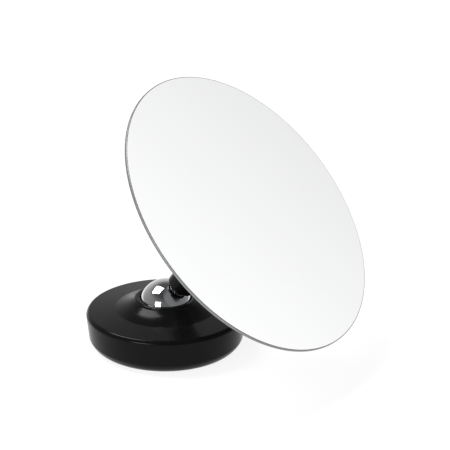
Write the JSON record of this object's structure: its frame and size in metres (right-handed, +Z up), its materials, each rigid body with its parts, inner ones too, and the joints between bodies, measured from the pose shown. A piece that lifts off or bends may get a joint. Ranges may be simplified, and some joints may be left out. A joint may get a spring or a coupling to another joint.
{
  "type": "countertop mirror",
  "caption": "Round polished mirror on a short black stem that swings and twists on a chrome ball, held by a low weighted black base with a friction knuckle behind the plate.",
  "frame": {"origin": "centre of the foot pad's underside, on the surface that the object stands on", "axes": "+Z up, +X the way the stem leans and the mirror faces at rest, +Y across the mirror"},
  "size_m": [0.0732, 0.08, 0.0727],
  "materials": {
    "black_anodised": "satin",
    "mirror_steel": "polished",
    "ball_chrome": "polished",
    "plain_steel": "satin",
    "nickel_plate": "satin",
    "dark_steel": "satin",
    "black_rubber": "matte",
    "black_plastic": "satin",
    "white_plastic": "satin",
    "foam_adhesive": "matte"
  },
  "bodies": {
    "base": {"base_cover": "black_anodised", "foot_pad": "black_rubber", "bottom_plate": "plain_steel", "weight_ring": "plain_steel", "seat_spring": "plain_steel", "ball_retainer": "black_plastic", "base_screw_1": "dark_steel", "base_screw_2": "dark_steel", "base_screw_3": "dark_steel", "magnet_1": "nickel_plate", "magnet_2": "nickel_plate", "magnet_3": "nickel_plate"},
    "seat": {"seat_cup": "white_plastic"},
    "ball": {"swivel_ball": "ball_chrome", "ball_stud": "plain_steel"},
    "stem": {"stem": "black_anodised", "knuckle_washer_left": "white_plastic", "knuckle_washer_right": "white_plastic"},
    "head": {"mirror_mount": "black_anodised", "knuckle_screw": "dark_steel", "knuckle_nut": "dark_steel", "adhesive_pad": "foam_adhesive", "mirror_plate": "mirror_steel"}
  },
  "joints": [
    {"name": "swivel", "type": "hinge", "parent": "base", "child": "seat", "pos_m": [0, 0, 0.0113], "axis": [0, 0, 1], "continuous": true},
    {"name": "lean", "type": "hinge", "parent": "seat", "child": "ball", "pos_m": [0, 0, 0.0113], "axis": [0, 1, 0], "range_deg": [-80, 9]},
    {"name": "twist", "type": "hinge", "parent": "ball", "child": "stem", "pos_m": [0, 0, 0.0113], "axis": [0.5835, 0, 0.8121], "continuous": true},
    {"name": "mirror_tilt", "type": "hinge", "parent": "stem", "child": "head", "pos_m": [0.01821, 0, 0.03664], "axis": [0, 1, 0], "range_deg": [-57, 32]}
  ]
}
